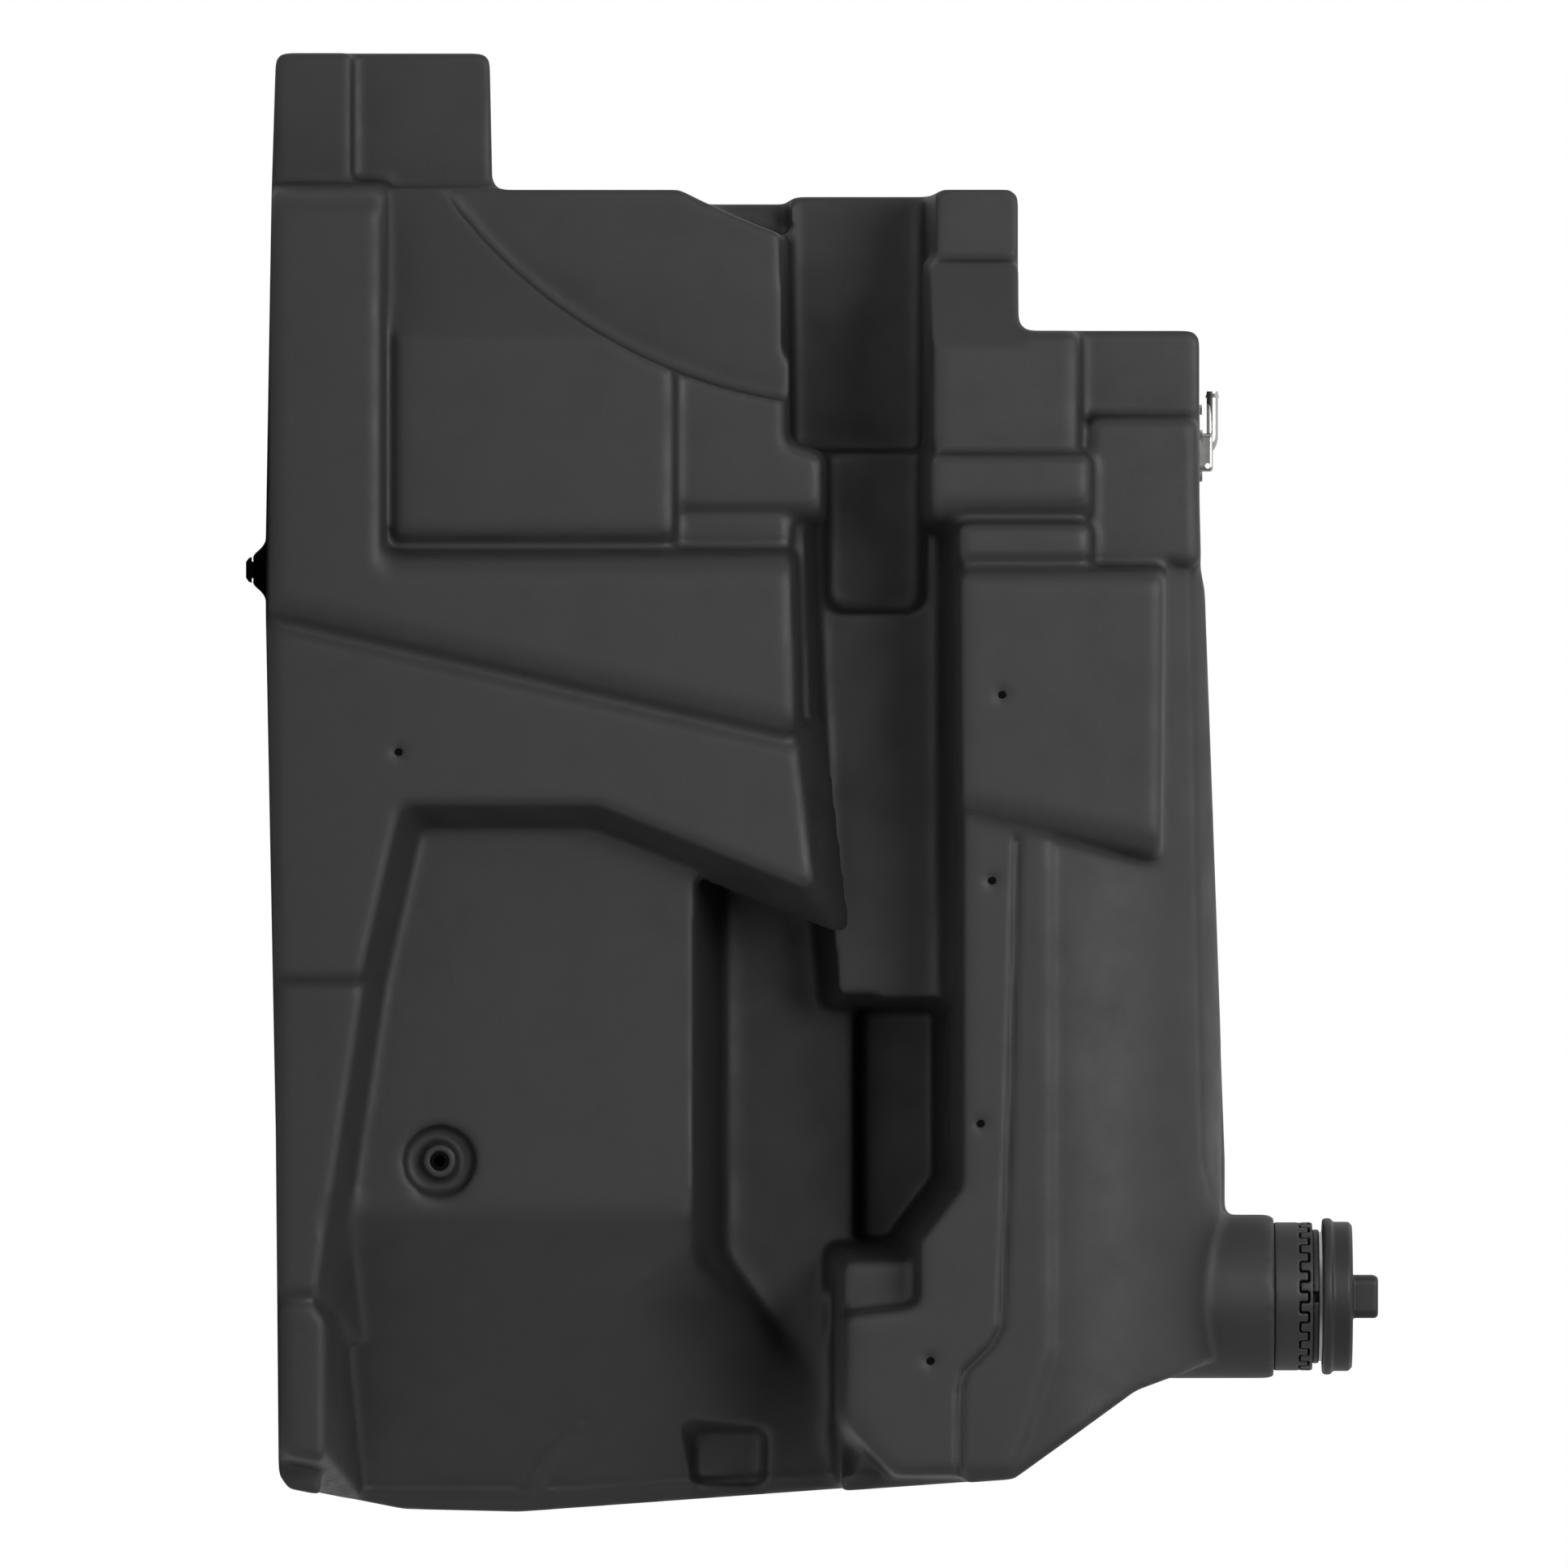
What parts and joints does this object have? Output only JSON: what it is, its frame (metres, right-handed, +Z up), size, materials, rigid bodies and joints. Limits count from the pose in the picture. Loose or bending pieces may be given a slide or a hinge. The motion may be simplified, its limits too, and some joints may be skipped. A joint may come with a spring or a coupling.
{
  "type": "fuel tank",
  "caption": "Moulded black plastic fuel tank with a stepped front, a round filler neck with a screw cap, and a level sender with pickup pipe in its roof.",
  "frame": {"origin": "middle of the length and of the thickness, at the foot of the drain plug", "axes": "+Z up along the filler neck, +X along the tank towards the filler neck, the stepped front faces -Y"},
  "size_m": [1.024, 0.35, 0.7937],
  "materials": {
    "shell": "fine textured black rotationally moulded polyethylene",
    "sleeve": "plain black moulded plastic",
    "cap": "satin black moulded plastic",
    "seal": "black rubber",
    "bright": "bright plated steel",
    "steel": "plain steel",
    "brass": "machined brass",
    "float_foam": "closed-cell black foam",
    "mesh": "natural woven plastic mesh"
  },
  "bodies": {
    "tank": {"drain_plug": "sleeve", "drain_seal": "seal", "filler_sleeve": "sleeve", "front_inserts": "brass", "level_sensor": "sleeve", "lock_ring": "sleeve", "mouth_ring": "sleeve", "neck_ring": "bright", "panel_insert": "brass", "pickup_pipe": "bright", "pickup_strainer": "mesh", "pivot_pin": "steel", "sender_flange": "bright", "sender_gasket": "seal", "sender_head": "bright", "sender_screws": "bright", "sender_stem": "steel", "tank_shell": "shell"},
    "seal": {"cap_seal": "seal"},
    "cap": {"cap_shell": "cap", "cap_core": "cap", "vent_seat": "sleeve", "vent_ball": "steel"},
    "gauge": {"float_arm": "steel", "fuel_float": "float_foam"}
  },
  "joints": [
    {"name": "cap_rise", "type": "slide", "parent": "tank", "child": "seal", "axis": [0, 0, 1], "range_m": [0, 0.012]},
    {"name": "cap_turn", "type": "hinge", "parent": "seal", "child": "cap", "pos_m": [0.36, -0.035, 0.76], "axis": [0, 0, 1], "range_deg": [0, 720]},
    {"name": "float_swing", "type": "hinge", "parent": "tank", "child": "gauge", "pos_m": [-0.225, 0.1089, 0.3498], "axis": [0, -1, 0], "range_deg": [0, 104]}
  ],
  "couplings": [
    {"joint": "cap_rise", "follows": "cap_turn", "m_per_rad": 0.00095493}
  ]
}
